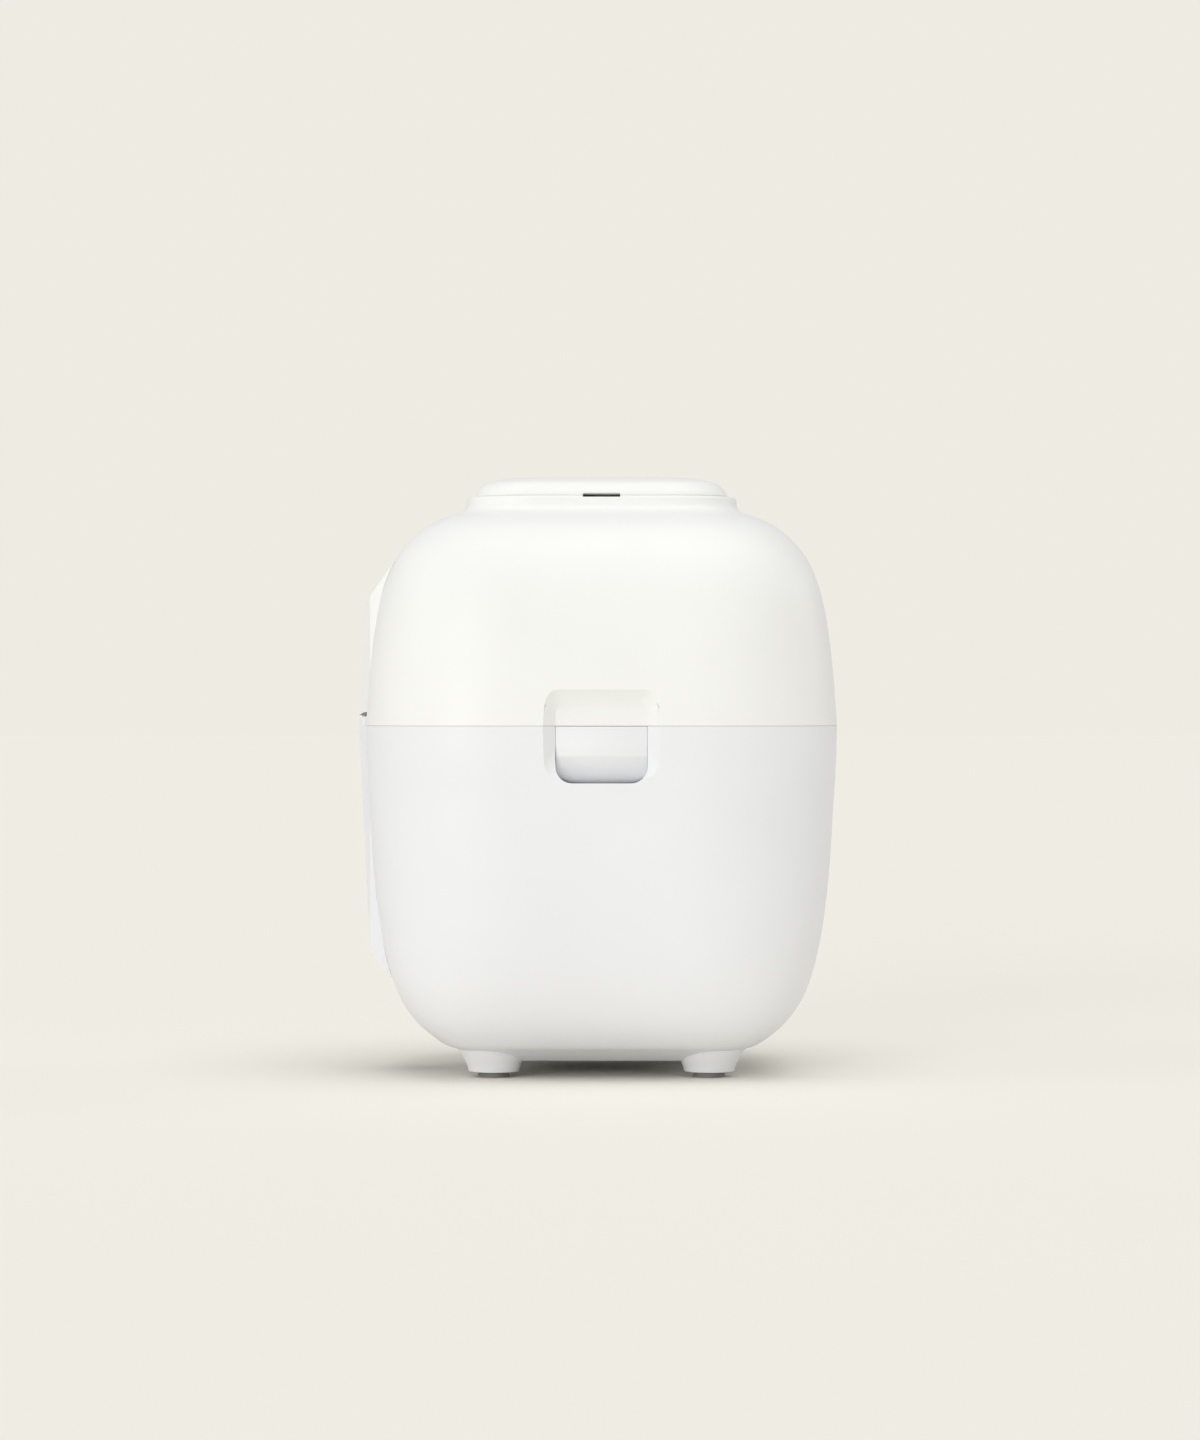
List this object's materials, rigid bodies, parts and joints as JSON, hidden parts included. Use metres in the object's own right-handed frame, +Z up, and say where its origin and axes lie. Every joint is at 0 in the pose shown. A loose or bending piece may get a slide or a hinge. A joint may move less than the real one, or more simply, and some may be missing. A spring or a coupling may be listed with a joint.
{
  "type": "electric pressure cooker",
  "caption": "Compact rounded-square electric pressure cooker with a rear-hinged domed lid, side press latches, a lift-off steam cover and short feet.",
  "frame": {"origin": "centre of the footprint box on the surface that the cooker stands on", "axes": "+Z up; +X towards the control panel, so the hinge spine is at -X; the two latches are at -Y and +Y"},
  "size_m": [0.2201, 0.216, 0.275],
  "materials": {
    "lid_plastic": "satin warm white",
    "base_plastic": "satin cool white",
    "inner_plastic": "fine matte grey",
    "dark_plastic": "matte black",
    "panel_plastic": "satin light grey",
    "display": "glossy black",
    "rubber": "matte grey",
    "silicone": "translucent pale grey",
    "steel": "brushed",
    "aluminium": "satin",
    "pot_coating": "non-stick dark grey",
    "brass": "plain",
    "circuit_board": "green lacquer"
  },
  "bodies": {
    "base": {"base_shell": "base_plastic", "bottom_cover": "base_plastic", "cover_screws": "steel", "base_deck": "inner_plastic", "heat_shield": "aluminium", "heating_plate": "aluminium", "heater_pins": "brass", "inner_pot": "pot_coating", "sensor_spring": "steel", "thermal_fuse": "brass", "power_board": "circuit_board", "board_parts": "dark_plastic", "inlet_socket": "dark_plastic", "inlet_blades": "steel", "control_panel": "panel_plastic", "display_window": "display", "control_board": "circuit_board", "spine_lower": "base_plastic", "hinge_bracket": "steel", "hinge_pin": "steel", "latch_pin_left": "steel", "latch_pin_right": "steel", "foot_pad_rear_left": "rubber", "foot_pad_rear_right": "rubber", "foot_pad_front_left": "rubber", "foot_pad_front_right": "rubber"},
    "lid": {"lid_shell": "lid_plastic", "spine_upper": "lid_plastic", "lid_arm": "steel", "lid_liner": "inner_plastic", "lid_frame": "steel", "liner_screws": "steel", "inner_lid": "aluminium", "gasket": "silicone", "steam_duct": "inner_plastic", "vent_tube": "steel", "vent_screen": "steel", "float_bush": "steel"},
    "steam_cover": {"steam_cover": "lid_plastic"},
    "pressure_weight": {"pressure_weight": "dark_plastic"},
    "float_valve": {"float_pin": "steel", "float_seal": "silicone"},
    "latch_left": {"latch_button_left": "base_plastic", "latch_hook_left": "steel", "latch_spring_left": "steel"},
    "latch_right": {"latch_button_right": "base_plastic", "latch_hook_right": "steel", "latch_spring_right": "steel"},
    "pot_sensor": {"pot_sensor": "aluminium"},
    "key_1": {"key_1": "panel_plastic"},
    "key_2": {"key_2": "panel_plastic"},
    "key_3": {"key_3": "panel_plastic"},
    "key_4": {"key_4": "panel_plastic"}
  },
  "joints": [
    {"name": "lid_hinge", "type": "hinge", "parent": "base", "child": "lid", "pos_m": [-0.10605, 0, 0.1605], "axis": [0, -1, 0], "range_deg": [0, 85]},
    {"name": "steam_cover_lift", "type": "slide", "parent": "lid", "child": "steam_cover", "axis": [0, 0, 1], "range_m": [0, 0.03]},
    {"name": "pressure_weight_lift", "type": "slide", "parent": "lid", "child": "pressure_weight", "axis": [0, 0, 1], "range_m": [0, 0.003]},
    {"name": "float_valve_lift", "type": "slide", "parent": "lid", "child": "float_valve", "axis": [0, 0, 1], "range_m": [0, 0.0027]},
    {"name": "latch_left_press", "type": "hinge", "parent": "base", "child": "latch_left", "pos_m": [0.00205, -0.094, 0.15], "axis": [1, 0, 0], "range_deg": [0, 9], "stiffness_Nm_per_rad": 0.4, "springref_deg": -17.19},
    {"name": "latch_right_press", "type": "hinge", "parent": "base", "child": "latch_right", "pos_m": [0.00205, 0.094, 0.15], "axis": [-1, 0, 0], "range_deg": [0, 9], "stiffness_Nm_per_rad": 0.4, "springref_deg": -17.19},
    {"name": "sensor_press", "type": "slide", "parent": "base", "child": "pot_sensor", "axis": [0, 0, -1], "range_m": [0, 0.003], "stiffness_N_per_m": 400, "springref_m": -0.002, "deforming": ["sensor_spring"]},
    {"name": "key_1_press", "type": "slide", "parent": "base", "child": "key_1", "axis": [-1, 0, 0], "range_m": [0, 0.0008], "stiffness_N_per_m": 700, "springref_m": -0.0006},
    {"name": "key_2_press", "type": "slide", "parent": "base", "child": "key_2", "axis": [-1, 0, 0], "range_m": [0, 0.0008], "stiffness_N_per_m": 700, "springref_m": -0.0006},
    {"name": "key_3_press", "type": "slide", "parent": "base", "child": "key_3", "axis": [-1, 0, 0], "range_m": [0, 0.0008], "stiffness_N_per_m": 700, "springref_m": -0.0006},
    {"name": "key_4_press", "type": "slide", "parent": "base", "child": "key_4", "axis": [-1, 0, 0], "range_m": [0, 0.0008], "stiffness_N_per_m": 700, "springref_m": -0.0006}
  ]
}
